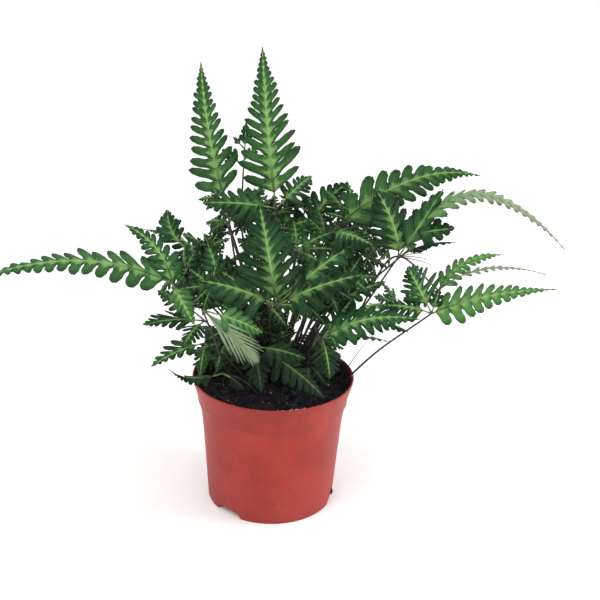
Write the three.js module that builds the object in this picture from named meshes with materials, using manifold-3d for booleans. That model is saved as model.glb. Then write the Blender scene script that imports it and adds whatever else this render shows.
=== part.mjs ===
// A potted fern: a moulded plastic nursery pot, its compost and the fern's fronds.
// Millimetres, +Z up. The origin is the middle of the pot's underside, on the surface it stands on.
// The front of the plant looks along -Y.
import * as THREE from "three";
import { mergeVertices } from "three/addons/utils/BufferGeometryUtils.js";
import Module from "manifold-3d";

const wasm = await Module();
wasm.setup();

// ---- Driving dimensions, in millimetres ----
const POT_HEIGHT = 100;
const RIM_RADIUS = 60;
const FOOT_RADIUS = 48;
const WALL = 1.2;
const FLOOR_UNDERSIDE = 3.5;
const FLOOR_TOP = 5;
const ROUND_SIDES = 36; // of the pot and the soil
const SOIL_EDGE = 90; // the soil's height at the pot's wall
const GAP = 0.3; // between pieces that touch
const STIPE_RADIUS = 0.75;
const STIPE_SECTION = 17; // length of each straight piece of a stipe
const ROOTED_AT = 76; // how far down a stipe reaches
const KNOT = 2.4; // half the size of the knot at a fork
const BLADE_THICKNESS = 0.7;
const LOBE_THICKNESS = 0.6; // at a lobe's outer corners
const RIB_HEIGHT = 1.7;
const RIB_HALF_WIDTH = 0.8;
const LOBE_SHRINK = 0.93; // each lobe takes this much of the length that the one before it takes
const SLENDER_FROM = 9; // a pinna with this many lobes on each side has a slender end
const LOBE_ROOT = 0.16; // the share of a lobe's length that stays joined to its neighbours
const BLADE_DROOP = THREE.MathUtils.degToRad(14); // each side of a blade hangs this far below its rib

const V = (p) => new THREE.Vector3(...p);

// ---- Materials ----
const POT_PLASTIC = new THREE.MeshStandardMaterial({ color: 0xb04a38, roughness: 0.55, metalness: 0 });
const SOIL_PEAT = new THREE.MeshStandardMaterial({ color: 0x1c1614, roughness: 1, metalness: 0 });
const STIPE_BROWN = new THREE.MeshStandardMaterial({ color: 0x2c1f1a, roughness: 0.5, metalness: 0 });
const LEAF_GREEN = new THREE.MeshStandardMaterial({ color: 0x2c6a35, roughness: 0.6, metalness: 0 });

// ---- Solids ----
// A closed geometry as a solid: only the positions count, and shared corners are merged.
function solid(geometry) {
  const bare = geometry.clone();
  bare.deleteAttribute("normal");
  bare.deleteAttribute("uv");
  const merged = mergeVertices(bare, 1e-4);
  return new wasm.Manifold(
    new wasm.Mesh({
      numProp: 3,
      vertProperties: new Float32Array(merged.attributes.position.array),
      triVerts: new Uint32Array(merged.index.array),
    }),
  );
}

function named(name, made, material) {
  const { vertProperties, triVerts } = made.getMesh();
  const geometry = new THREE.BufferGeometry()
    .setAttribute("position", new THREE.BufferAttribute(new Float32Array(vertProperties), 3))
    .setIndex(new THREE.BufferAttribute(new Uint32Array(triVerts), 1));
  geometry.computeVertexNormals();
  const mesh = new THREE.Mesh(geometry, material);
  mesh.name = name;
  return mesh;
}

// A profile of [radius, height] points turned round the Z axis.
function turned(profile, segments) {
  const points = profile.map(([r, z]) => new THREE.Vector2(r, z));
  return new THREE.LatheGeometry(points, segments).rotateX(Math.PI / 2);
}

// ---- Pot ----
// Outer face from the foot up: a slightly tapering body, a shoulder, and a flaring rim band.
const OUTER_WALL = [
  [FOOT_RADIUS, 4],
  [52.3, 67],
  [53.6, 72],
  [55.8, 80],
  [RIM_RADIUS, POT_HEIGHT],
];
const INNER_WALL = OUTER_WALL.map(([r, z]) => [r - WALL, z]);

// The pot stands on the lower edge of its wall and on a flat pad in the middle of its floor. Between them
// the floor is raised and has drain holes, and in line with every second hole the wall's foot has an arched
// notch.
function pot() {
  const padRadius = 16;
  const skirt = FOOT_RADIUS - WALL - 1;
  const profile = [
    [0, 0],
    [padRadius, 0],
    [padRadius + 2, FLOOR_UNDERSIDE],
    [skirt - 0.6, FLOOR_UNDERSIDE],
    [skirt, 0],
    [FOOT_RADIUS - 1, 0],
    ...OUTER_WALL,
    ...INNER_WALL.toReversed(),
    [skirt - 0.6, FLOOR_TOP],
    [0, FLOOR_TOP],
  ];
  let made = solid(turned(profile, ROUND_SIDES));
  const drainHoles = 6;
  const drainRadius = 4;
  const drainCircle = 30;
  const notchWidth = 23;
  const notchHeight = 4.6;
  const cutLength = 12;
  const firstNotch = THREE.MathUtils.degToRad(-131);
  for (let i = 0; i < drainHoles; i++) {
    const turn = firstNotch + (i * 2 * Math.PI) / drainHoles;
    const hole = new THREE.CylinderGeometry(drainRadius, drainRadius, cutLength, 10).rotateX(Math.PI / 2);
    hole.translate(drainCircle, 0, FLOOR_TOP).rotateZ(turn);
    made = made.subtract(solid(hole));
    if (i % 2 === 0) {
      const notch = new THREE.CylinderGeometry(1, 1, cutLength, 12).rotateZ(Math.PI / 2);
      notch.scale(1, notchWidth / 2, notchHeight).translate(FOOT_RADIUS - 1, 0, -0.3).rotateZ(turn);
      made = made.subtract(solid(notch));
    }
  }
  return made;
}

// ---- Soil ----
// The surface is a low mound with crumbly unevenness.
const soilHeight = (x, y) =>
  SOIL_EDGE +
  2.5 * (1 - Math.hypot(x, y) / RIM_RADIUS) +
  0.8 * Math.sin(x * 0.31 + 1) * Math.cos(y * 0.27) +
  0.5 * Math.sin(x * 0.53 - y * 0.47);

// The soil fills the pot, clear of its wall and floor, up to a surface of a few rings.
function soil() {
  const [foot, ...wall] = INNER_WALL.map(([r, z]) => [r - GAP - 0.1, z]);
  const [shoulder, rim] = wall.slice(-2);
  const upTheBand = (SOIL_EDGE - shoulder[1]) / (rim[1] - shoulder[1]);
  const top = THREE.MathUtils.lerp(shoulder[0], rim[0], upTheBand);
  const profile = [
    [0, FLOOR_TOP + GAP],
    [foot[0] - 1, FLOOR_TOP + GAP],
    ...wall.slice(0, -1),
    ...[1, 0.67, 0.33, 0].map((share) => [share * top, SOIL_EDGE]),
  ];
  const geometry = turned(profile, ROUND_SIDES);
  const place = geometry.attributes.position;
  for (let i = 0; i < place.count; i++) {
    if (Math.abs(place.getZ(i) - SOIL_EDGE) < 1e-3) {
      place.setZ(i, soilHeight(place.getX(i), place.getY(i)));
    }
  }
  return solid(geometry);
}

// ---- Fronds ----
// A frond is a wiry stipe that rises from the soil at its root, passes the points of its path and ends at its
// fork, where its pinnae spread. A pinna runs from the fork to its tip and may pass a point on the way or bow
// towards the side it faces. It has a half width near its base and a number of lobes along each side, and it
// may start some way along the first pinna's rib. Small pinnae have plain pointed lobes.
const FRONDS = [
  {
    name: "tall_centre",
    root: [-2, 8],
    path: [[-5, 12, 154]],
    fork: [-1, 18, 222],
    pinnae: [
      { to: [-13, 8, 336], via: [-8, 14, 277], face: [0.1, -1, 0.1], width: 25, lobes: 11, stalk: 9 },
      { to: [-52, 0, 230], face: [0, -0.9, 0.5], width: 17, lobes: 5, bow: 7, stalk: 12, small: true },
      { to: [24, 44, 240], face: [0.2, -0.6, 0.8], width: 15, lobes: 5, bow: 3, stalk: 10, small: true },
    ],
  },
  {
    name: "tall_left",
    root: [-7, 13],
    path: [[-29, 15, 178]],
    fork: [-36, 24, 218],
    pinnae: [
      { to: [-56, 34, 321], via: [-49, 29, 268], face: [0.1, -1, 0.1], width: 19, lobes: 10, stalk: 9 },
      { to: [-50, 44, 192], face: [0, -0.5, 0.9], width: 10, lobes: 5, bow: 4, stalk: 10, small: true },
      { to: [-11, 22, 212], face: [0, -0.4, 1], width: 10, lobes: 4, bow: 3, stalk: 8, small: true },
    ],
  },
  {
    name: "young",
    root: [1, 14],
    path: [[-26, 34, 200]],
    fork: [-26, 38, 236],
    pinnae: [
      { to: [-24, 38, 279], face: [0, -1, 0.2], width: 6, lobes: 3, stalk: 27, small: true },
      { to: [-33, 36, 269], face: [0, -1, 0.2], width: 4, lobes: 2, along: 24, stalk: 5, small: true },
      { to: [-15, 40, 262], face: [0, -1, 0.2], width: 5, lobes: 2, along: 16, stalk: 4, small: true },
      { to: [-41, 38, 259], face: [0, -1, 0.2], width: 8, lobes: 3, along: 12, stalk: 5, small: true },
    ],
  },
  {
    name: "right_behind",
    root: [4, 13],
    path: [[12, 30, 150]],
    fork: [20, 36, 190],
    pinnae: [
      { to: [52, 48, 234], via: [32, 42, 217], face: [0.3, -0.8, 0.5], width: 19, lobes: 7, stalk: 7 },
      { to: [66, 62, 194], face: [0, -0.6, 0.8], width: 18, lobes: 5, bow: 8, stalk: 12, small: true },
      { to: [-8, 50, 214], face: [0, -0.6, 0.8], width: 17, lobes: 5, bow: 4, stalk: 12, small: true },
    ],
  },
  {
    name: "right_high",
    root: [7, 8],
    path: [[18, 20, 151]],
    fork: [39, 22, 204],
    pinnae: [
      { to: [139, 0, 255], via: [90, 8, 247], face: [-0.3, -0.8, 0.6], width: 22, lobes: 11, stalk: 12 },
      { to: [66, -24, 210], face: [-0.2, -0.6, 0.9], width: 20, lobes: 6, bow: 4, stalk: 8, small: true },
    ],
  },
  {
    name: "right_arch",
    root: [8, 2],
    path: [[52, 8, 133]],
    fork: [86, -6, 196],
    pinnae: [
      { to: [112, -14, 248], via: [98, -10, 220], face: [0.1, -1, 0.3], width: 12, lobes: 3, stalk: 20 },
      { to: [69, -2, 242], via: [82, -7, 217], face: [0.1, -1, 0.3], width: 25, lobes: 7, stalk: 6 },
      {
        to: [195, -30, 215], via: [135, -18, 248], face: [-0.2, -0.6, 0.8],
        width: 8, lobes: 11, along: 20, stalk: 14,
      },
      { to: [122, -4, 216], face: [0.1, -1, 0.3], width: 8, lobes: 3, along: 24, stalk: 3, small: true },
      { to: [130, 12, 202], face: [0.2, 0.3, 1], width: 9, lobes: 5, bow: 4, stalk: 9, small: true },
    ],
  },
  {
    name: "right_outer",
    root: [19, 14],
    path: [[56, 22, 128], [86, 10, 191]],
    fork: [121, 20, 162],
    pinnae: [
      { to: [168, 30, 188], via: [138, 24, 182], face: [-0.3, -0.7, 0.7], width: 10, lobes: 7, stalk: 3 },
      {
        to: [196, 8, 181], via: [153, 12, 181], face: [0, -0.6, 0.8],
        width: 4, lobes: 8, stalk: 24, small: true,
      },
      { to: [93, 2, 160], face: [0, -0.8, 0.6], width: 11, lobes: 5, stalk: 8, small: true },
    ],
  },
  {
    name: "right_low",
    root: [49, -8],
    path: [[69, -20, 124]],
    fork: [108, -36, 166],
    pinnae: [
      { to: [188, -50, 191], via: [145, -44, 183], face: [-0.2, -0.7, 0.7], width: 15, lobes: 11, stalk: 3 },
      { to: [90, -30, 197], face: [-0.1, -0.9, 0.4], width: 16, lobes: 5, bow: 3, stalk: 8, small: true },
      { to: [74, -38, 172], face: [0, -0.6, 0.8], width: 12, lobes: 5, bow: 3, stalk: 7, small: true },
      { to: [112, -36, 184], face: [0, -0.9, 0.4], width: 7, lobes: 3, stalk: 4, small: true },
    ],
  },
  {
    name: "front_right",
    root: [5, -3],
    path: [[26, -27, 132]],
    fork: [33, -38, 146],
    pinnae: [
      { to: [96, -62, 172], via: [62, -50, 166], face: [-0.1, -0.7, 0.7], width: 17, lobes: 9, stalk: 6 },
      { to: [54, -18, 168], face: [-0.4, -0.5, 0.8], width: 16, lobes: 5, stalk: 8, small: true },
      { to: [38, -68, 130], face: [0.1, -0.7, 0.7], width: 14, lobes: 5, bow: 4, stalk: 8, small: true },
      { to: [80, -36, 144], face: [0, -0.4, 1], width: 4, lobes: 4, bow: 4, stalk: 12, small: true },
    ],
  },
  {
    name: "centre_front",
    root: [-3, 1],
    path: [[-2, -8, 136]],
    fork: [1, -26, 165],
    pinnae: [
      { to: [-12, -48, 245], via: [-5, -41, 206], face: [0.1, -1, 0.2], width: 27, lobes: 9, stalk: 8 },
      { to: [58, -44, 196], face: [-0.3, -0.6, 0.8], width: 20, lobes: 6, bow: 4, stalk: 10 },
      { to: [-51, -42, 188], face: [0.3, -0.6, 0.8], width: 20, lobes: 6, bow: 4, stalk: 10 },
      { to: [60, 2, 206], face: [-0.3, -0.6, 0.8], width: 20, lobes: 6, bow: 4, stalk: 14, small: true },
    ],
  },
  {
    name: "mid_left",
    root: [-10, 1],
    path: [[-22, -2, 126]],
    fork: [-32, -8, 150],
    pinnae: [
      { to: [-50, 14, 196], face: [0.1, -0.8, 0.6], width: 20, lobes: 6, bow: 4, stalk: 8, small: true },
      { to: [-16, -36, 158], face: [0, -0.7, 0.7], width: 18, lobes: 5, stalk: 8, small: true },
      { to: [-70, 16, 176], face: [0, -0.7, 0.7], width: 14, lobes: 5, bow: 3, stalk: 8, small: true },
    ],
  },
  {
    name: "mid_right",
    root: [12, 6],
    path: [[24, 4, 126]],
    fork: [34, -4, 152],
    pinnae: [
      { to: [60, 22, 186], face: [-0.2, -0.7, 0.7], width: 20, lobes: 6, bow: 4, stalk: 8, small: true },
      { to: [20, 0, 196], face: [0.1, -0.9, 0.4], width: 18, lobes: 5, stalk: 8, small: true },
      { to: [78, -8, 178], face: [-0.1, -0.6, 0.8], width: 13, lobes: 5, bow: 5, stalk: 8, small: true },
      { to: [44, -26, 134], face: [0, -0.8, 0.6], width: 11, lobes: 4, bow: 2, stalk: 10, small: true },
    ],
  },
  {
    name: "left_long",
    root: [-9, 6],
    path: [[-38, -6, 138]],
    fork: [-72, -18, 176],
    pinnae: [
      { to: [-207, -30, 178], via: [-135, -25, 193], face: [0, -0.6, 0.8], width: 14, lobes: 12, stalk: 12 },
      { to: [-106, -5, 214], via: [-84, -10, 199], face: [0.2, -0.8, 0.6], width: 15, lobes: 7, stalk: 6 },
      { to: [-54, -52, 160], face: [-0.2, -0.6, 0.8], width: 11, lobes: 5, bow: 4, stalk: 7, small: true },
    ],
  },
  {
    name: "left_small",
    root: [-8, 18],
    path: [[-34, 26, 158]],
    fork: [-55, 32, 180],
    pinnae: [
      {
        to: [-81, 46, 211], via: [-75, 40, 188], face: [0.2, -0.8, 0.6],
        width: 10, lobes: 4, stalk: 24, small: true,
      },
      { to: [-66, 0, 206], face: [0.2, -0.6, 0.8], width: 15, lobes: 5, bow: 5, stalk: 9, small: true },
      { to: [-46, 20, 200], face: [0, -0.6, 0.8], width: 10, lobes: 5, bow: 3, stalk: 6, small: true },
    ],
  },
  {
    name: "left_low",
    root: [-22, 0],
    path: [[-32, -2, 122]],
    fork: [-50, -12, 146],
    pinnae: [
      { to: [-94, -22, 149], face: [0, -0.6, 0.8], width: 13, lobes: 6, bow: 4, stalk: 8 },
      { to: [-86, 10, 160], face: [0, -0.5, 0.9], width: 13, lobes: 5, bow: 4, stalk: 12, small: true },
      { to: [-62, -46, 142], face: [0, -0.5, 0.9], width: 12, lobes: 5, bow: 3, stalk: 9, small: true },
    ],
  },
  {
    name: "front_left_low",
    root: [-17, -9],
    path: [[-31, -17, 116]],
    fork: [-48, -28, 136],
    pinnae: [
      { to: [-84, -46, 125], face: [0, -0.6, 0.8], width: 11, lobes: 6, bow: 5, stalk: 8 },
      { to: [-50, -60, 124], face: [0, -0.5, 0.9], width: 10, lobes: 5, bow: 4, stalk: 9, small: true },
    ],
  },
  {
    name: "front_droop",
    root: [-11, -19],
    path: [[-24, -27, 108]],
    fork: [-36, -35, 116],
    pinnae: [
      {
        to: [-70, -62, 131], via: [-57, -50, 119], face: [0, -0.3, 1],
        width: 7, lobes: 6, stalk: 6, small: true,
      },
      { to: [-20, -44, 108], face: [0, -0.3, 1], width: 7, lobes: 4, bow: 2, stalk: 7, small: true },
    ],
  },
  {
    name: "turned",
    root: [-28, -16],
    path: [[-40, -42, 142]],
    fork: [-48, -58, 173],
    pinnae: [
      { to: [-10, -78, 146], face: [0.4, 0.8, -0.5], width: 12, lobes: 7, bow: 4, stalk: 4 },
      { to: [-8, -58, 158], face: [0, -0.7, 0.7], width: 12, lobes: 5, bow: 4, stalk: 12, small: true },
    ],
  },
  {
    name: "over_soil",
    root: [-3, -18],
    path: [[-8, -20, 118]],
    fork: [-14, -24, 132],
    pinnae: [
      { to: [36, -46, 104], face: [0.3, -0.6, 0.8], width: 17, lobes: 7, bow: 6, stalk: 8 },
      { to: [22, -46, 134], face: [0, -0.6, 0.8], width: 13, lobes: 4, bow: 3, stalk: 10, small: true },
      { to: [-8, -58, 114], face: [0, -0.5, 0.9], width: 12, lobes: 5, bow: 4, stalk: 9, small: true },
    ],
  },
  {
    name: "back_left",
    root: [-14, 24],
    path: [[-30, 46, 130]],
    fork: [-44, 64, 154],
    pinnae: [
      { to: [-108, 104, 176], face: [0, 0, 1], width: 18, lobes: 8, bow: 10, stalk: 9 },
      { to: [-102, 48, 166], face: [0, 0, 1], width: 14, lobes: 5, bow: 8, stalk: 14, small: true },
      { to: [-52, 112, 146], face: [0, 0, 1], width: 12, lobes: 5, bow: 8, stalk: 12, small: true },
    ],
  },
  {
    name: "back_centre",
    root: [2, 27],
    path: [[4, 54, 132]],
    fork: [6, 76, 158],
    pinnae: [
      { to: [10, 150, 178], face: [0, 0, 1], width: 18, lobes: 8, bow: 10, stalk: 12 },
      { to: [-42, 118, 194], face: [0, 0.3, 1], width: 14, lobes: 5, bow: 6, stalk: 12, small: true },
      { to: [60, 108, 188], face: [0, 0.3, 1], width: 14, lobes: 5, bow: 6, stalk: 12, small: true },
    ],
  },
  {
    name: "back_right",
    root: [16, 24],
    path: [[40, 46, 110]],
    fork: [58, 58, 116],
    pinnae: [
      { to: [98, 106, 112], face: [0, 0, 1], width: 15, lobes: 8, bow: 10, stalk: 11 },
      { to: [106, 52, 114], face: [0, 0, 1], width: 13, lobes: 5, bow: 6, stalk: 12, small: true },
      { to: [52, 112, 128], face: [0, 0, 1], width: 13, lobes: 5, bow: 8, stalk: 12, small: true },
    ],
  },
];

// The rib of a pinna, bent through one point.
function ribCurve(base, { to, via, face, bow = 0 }) {
  const from = V(base);
  const tip = V(to);
  const middle = from.clone().add(tip).multiplyScalar(0.5);
  if (via) return new THREE.QuadraticBezierCurve3(from, V(via).multiplyScalar(2).sub(middle), tip);
  const forward = tip.clone().sub(from).normalize();
  const up = V(face).addScaledVector(forward, -V(face).dot(forward)).normalize();
  return new THREE.QuadraticBezierCurve3(from, middle.addScaledVector(up, 2 * bow), tip);
}

// A pinna is one thin arched blade, cut nearly to its rib into lobes that lean towards the tip and get
// smaller along it. Places along the rib are shares of its length, s. Both faces are split into the same
// triangles.
function pinna(base, spec) {
  const { face, width, lobes, stalk, small = false } = spec;
  const rib = ribCurve(base, spec);
  const length = rib.getLength();
  const start = stalk / length;
  const station = (k) => start + ((1 - start) * (1 - LOBE_SHRINK ** k)) / (1 - LOBE_SHRINK ** (lobes + 1));
  // The outline widens a little from the first lobe, then narrows to the tip: a short pinna as a wedge, a
  // long one in an S curve that leaves a slender end.
  const halfWidth = (s) => {
    const left = (1 - s) / (1 - start);
    const wedge = left ** 0.85;
    const curve = 0.4 * left + 0.6 * THREE.MathUtils.smoothstep(left, 0, 0.9);
    return width * Math.min(1, 0.72 + 2.8 * (s - start)) * (lobes < SLENDER_FROM ? wedge : curve);
  };
  const positions = [];
  const faces = [];
  // A point at a distance out from the rib (negative to the left) and a height above the blade's middle.
  const point = (s, out, height) => {
    const at = rib.getPoint(Math.min(1, s));
    const forward = rib.getTangent(Math.min(1, s));
    const up = V(face).addScaledVector(forward, -V(face).dot(forward)).normalize();
    const side = forward.clone().cross(up);
    at.addScaledVector(side, out * Math.cos(BLADE_DROOP));
    at.addScaledVector(up, height - Math.abs(out) * Math.sin(BLADE_DROOP));
    positions.push(at.x, at.y, at.z);
    return positions.length / 3 - 1;
  };
  // The same point on the top face and on the under face.
  const pair = (s, out, thickness) => [point(s, out, thickness / 2), point(s, out, -thickness / 2)];
  // A strip of corners across the blade is filled on the top face and, turned over, on the under face.
  const fill = ([a, ...corners], way) => {
    for (let i = 0; i + 1 < corners.length; i++) {
      const [b, c] = way > 0 ? [corners[i], corners[i + 1]] : [corners[i + 1], corners[i]];
      faces.push(a[0], b[0], c[0], c[1], b[1], a[1]);
    }
  };
  const edge = (corners, way) => {
    for (let i = 0; i + 1 < corners.length; i++) {
      const [a, b] = way > 0 ? [corners[i], corners[i + 1]] : [corners[i + 1], corners[i]];
      faces.push(a[0], a[1], b[1], a[0], b[1], b[0]);
    }
  };

  const rows = [];
  for (let k = -1; k <= lobes; k++) {
    const s = k < 0 ? 0 : station(k);
    const out = RIB_HALF_WIDTH + (k < 1 ? 0 : LOBE_ROOT * halfWidth(s));
    rows.push({
      s,
      rib: small ? null : pair(s, 0, RIB_HEIGHT * (1 - 0.5 * s)),
      right: pair(s + (0.3 * out) / length, out, BLADE_THICKNESS),
      left: pair(s + (0.3 * out) / length, -out, BLADE_THICKNESS),
    });
  }
  for (let i = 1; i < rows.length; i++) {
    const [low, high] = [rows[i - 1], rows[i]];
    const pitch = high.s - low.s;
    const reach = halfWidth((low.s + high.s) / 2);
    const lean = (reach * (0.25 + 0.5 * low.s)) / length;
    if (small) fill([low.left, low.right, high.right, high.left], 1);
    for (const way of [1, -1]) {
      const side = way > 0 ? "right" : "left";
      if (!small) fill([low.rib, low[side], high[side], high.rib], way);
      const lobe = [low[side]];
      if (i > 1) {
        if (!small) lobe.push(pair(low.s + 0.12 * pitch + lean, way * reach * 0.94, LOBE_THICKNESS));
        lobe.push(pair(low.s + 0.72 * pitch + lean * 1.1, way * reach, LOBE_THICKNESS));
      }
      lobe.push(high[side]);
      fill(lobe, way);
      edge(lobe, way);
    }
  }
  // The cut end at the base, and the point at the tip.
  const first = rows.at(0);
  const last = rows.at(-1);
  const end = point(1, 0, 0);
  const cut = small ? [first.left, first.right] : [first.left, first.rib, first.right];
  const tip = small ? [last.left, last.right] : [last.left, last.rib, last.right];
  for (let i = 0; i + 1 < cut.length; i++) {
    faces.push(cut[i][0], cut[i][1], cut[i + 1][1], cut[i][0], cut[i + 1][1], cut[i + 1][0]);
    faces.push(tip[i][0], tip[i + 1][0], end, tip[i + 1][1], tip[i][1], end);
  }
  faces.push(last.right[0], last.right[1], end, last.left[1], last.left[0], end);

  const geometry = new THREE.BufferGeometry()
    .setAttribute("position", new THREE.BufferAttribute(new Float32Array(positions), 3))
    .setIndex(faces);
  return solid(geometry);
}

// The direction in which a stipe reaches its fork.
const stipeEnd = ({ path, fork }) => V(fork).sub(V(path.at(-1))).normalize();

// All the pinnae of a frond, joined at the knot of its fork. One corner of the knot points at the stipe's
// end.
function leaf(frond) {
  const { fork, pinnae } = frond;
  const [first, ...others] = pinnae;
  const rib = ribCurve(fork, first);
  const turn = new THREE.Quaternion().setFromUnitVectors(V([0, 0, 1]), stipeEnd(frond));
  const knot = new THREE.OctahedronGeometry(KNOT).applyQuaternion(turn).translate(...fork);
  let made = solid(knot).add(pinna(fork, first));
  for (const other of others) {
    const base = rib.getPointAt((other.along ?? 0) / rib.getLength());
    made = made.add(pinna(base.toArray(), other));
  }
  return made;
}

// A wiry tube along a curve, as an extruded hexagon.
function wire(points, radius, steps) {
  const shape = new THREE.Shape();
  for (let i = 0; i < 6; i++) {
    const [x, y] = [radius * Math.cos((i * Math.PI) / 3), radius * Math.sin((i * Math.PI) / 3)];
    if (i === 0) shape.moveTo(x, y);
    else shape.lineTo(x, y);
  }
  const extrudePath = new THREE.CatmullRomCurve3(points.map(V), false, "centripetal");
  return solid(new THREE.ExtrudeGeometry(shape, { steps, extrudePath }));
}

// A stipe stops just short of the knot where the green of its pinnae begins. Its hole is a wider tube along
// the same curve, with its sections at the same places.
function stipe(frond, foot, radius) {
  const { root: [x, y], path, fork } = frond;
  const end = V(fork).addScaledVector(stipeEnd(frond), -KNOT - GAP);
  const steps = Math.max(5, Math.round(V(fork).distanceTo(V([x, y, ROOTED_AT])) / STIPE_SECTION));
  return wire([[x, y, foot], [x, y, SOIL_EDGE], ...path, end.toArray()], radius, steps);
}

// ---- Assembly ----
const fern = new THREE.Group();
let bed = soil();
for (const frond of FRONDS) {
  bed = bed.subtract(stipe(frond, ROOTED_AT - GAP, STIPE_RADIUS + 2 * GAP));
  fern.add(named("leaf_" + frond.name, leaf(frond), LEAF_GREEN));
  fern.add(named("stipe_" + frond.name, stipe(frond, ROOTED_AT, STIPE_RADIUS), STIPE_BROWN));
}
fern.add(named("pot", pot(), POT_PLASTIC));
fern.add(named("soil", bed, SOIL_PEAT));

export default fern;
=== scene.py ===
"""A young potted fern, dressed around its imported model.

Metres, +Z up, the pot stands on z = 0 and the plant's front looks along -Y. Lengths in the tables are in
millimetres and turned into metres by MM. Every new piece is a surface worked out with numpy.
"""

import math

import bpy
import numpy as np
from mathutils import Matrix, Vector


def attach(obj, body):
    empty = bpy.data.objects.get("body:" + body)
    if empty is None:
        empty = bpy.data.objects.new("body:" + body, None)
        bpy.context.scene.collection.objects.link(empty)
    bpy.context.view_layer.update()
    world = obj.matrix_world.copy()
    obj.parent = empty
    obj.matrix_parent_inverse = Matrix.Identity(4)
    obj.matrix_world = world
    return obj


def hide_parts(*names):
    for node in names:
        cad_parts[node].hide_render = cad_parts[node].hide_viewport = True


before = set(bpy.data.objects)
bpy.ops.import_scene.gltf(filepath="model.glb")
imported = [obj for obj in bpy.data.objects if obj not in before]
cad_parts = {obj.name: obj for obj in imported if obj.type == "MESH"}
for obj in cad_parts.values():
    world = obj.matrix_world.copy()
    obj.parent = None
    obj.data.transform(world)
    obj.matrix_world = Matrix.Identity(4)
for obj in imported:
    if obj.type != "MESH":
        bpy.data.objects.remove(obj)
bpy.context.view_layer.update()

MM = 0.001
SOIL_LEVEL, SOIL_REACH = 90, 56.3  # height of the compost at the wall, and its radius there
ROOTED_AT = 76  # height at which a stipe starts inside the compost
PETIOLE = 2  # a short stalk's place among the finishes of a blade's piece

# ---- The fronds ----
# A frond: name, root on the soil, points that its stipe passes, fork and pinnae. pale_foot is 1 for a stipe
# bleached above the soil.
# A pinna: tip, half width, lobes on each side, bare stalk and the way its upper side faces; then via (a point
# on its rib) or bow (how far the rib bends to the side it faces), along (where on the first rib it starts),
# band (strength of its pale band), pale (0 deep green, 0.6 fresh green, 1 grey green: partly their own
# colour, partly painted glare of light on upright pinnae; and down to -1 near black: painted shade on
# pinnae that lie in shadow), fade (how much lower pale is at the base than at the tip), cut (share of a
# lobe's length that stays joined), tooth (how deep its margin is toothed), full (half a lobe's breadth
# as a share of its pitch), lean (added to the lobes' slant on the left and on the right), sides (factors
# of their reach there), slim (1 for an outline that narrows in an S curve, 0 for a wedge), fine (False for
# fewer sections).
LEVEL = (0, -0.6, 0.8)
FRONT = (0.1, -1, 0.1)
UPRIGHT = (0, -1, 0.2)
STEEP = (0, -0.7, 0.7)
TILTED = (0, -0.5, 0.9)
FLAT = (0, -0.3, 1)
UP = (0, 0, 1)
FRONDS = {}


def pinna(to, width, lobes, stalk, face=LEVEL, **more):
    return dict(
        to=to, width=width, lobes=lobes, stalk=stalk, face=face, via=None, bow=0, along=0, band=1, pale=0,
        fade=0, cut=0.24, tooth=0.035, full=0.43, lean=(0, 0), sides=(1, 1), slim=1, fine=True,
    ) | more


def frond(name, root, path, fork, *pinnae, pale_foot=0):
    FRONDS[name] = dict(root=root, path=path, fork=fork, pinnae=pinnae, pale_foot=pale_foot)


frond(
    "tall_centre", (-2, 8), [(-5, 12, 154)], (-1, 18, 222),
    pinna((-13, 8, 336), 27, 16, 13, FRONT, via=(-8, 14, 277), band=1.4, pale=0.12, lean=(-0.1, 0.1), slim=0,
          full=0.42, sides=(0.97, 0.97)),
    pinna((-52, 0, 230), 17, 6, 12, (0, -0.9, 0.5), bow=7, band=0.5, pale=-0.15),
    pinna((24, 44, 240), 15, 6, 10, (0.2, -0.6, 0.8), bow=3, band=0.8),
)
frond(
    "tall_left", (-7, 13), [(-29, 15, 178)], (-36, 24, 218),
    pinna((-56, 34, 321), 21, 15, 13, FRONT, via=(-49, 29, 268), band=1.3, pale=0.14, lean=(-0.15, 0.12),
          slim=0, full=0.42, sides=(1.1, 0.95)),
    pinna((-50, 44, 192), 10, 6, 10, TILTED, bow=4),
    pinna((-11, 22, 212), 10, 5, 8, (0, -0.4, 1), bow=3),
)
frond(
    "young", (1, 14), [(-26, 34, 200)], (-26, 38, 236),
    pinna((-24, 38, 279), 6, 3, 27, UPRIGHT, band=0.4),
    pinna((-33, 36, 269), 3, 2, 5, UPRIGHT, along=24, band=0.3, cut=0.6),
    pinna((-15, 40, 262), 5, 3, 4, UPRIGHT, along=16),
    pinna((-41, 38, 259), 8, 3, 5, UPRIGHT, along=12, band=0.5, cut=0.6, tooth=0.1),
)
frond(
    "right_behind", (4, 13), [(12, 30, 150)], (20, 36, 190),
    pinna((52, 48, 234), 19, 7, 7, (0.3, -0.8, 0.5), via=(32, 42, 217), band=0.9),
    pinna((66, 62, 194), 18, 6, 12, bow=8),
    pinna((-8, 50, 214), 17, 6, 12, bow=4),
)
frond(
    "right_high", (7, 8), [(18, 20, 151)], (39, 22, 204),
    pinna((139, 0, 255), 23, 13, 10, (-0.3, -0.8, 0.6), via=(90, 8, 247), band=0.9, pale=0.15,
          lean=(-0.25, 0.4), sides=(0.95, 0.85), full=0.48, cut=0.4),
    pinna((66, -24, 210), 20, 7, 8, (-0.2, -0.6, 0.9), bow=4, band=1.1),
)
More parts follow.
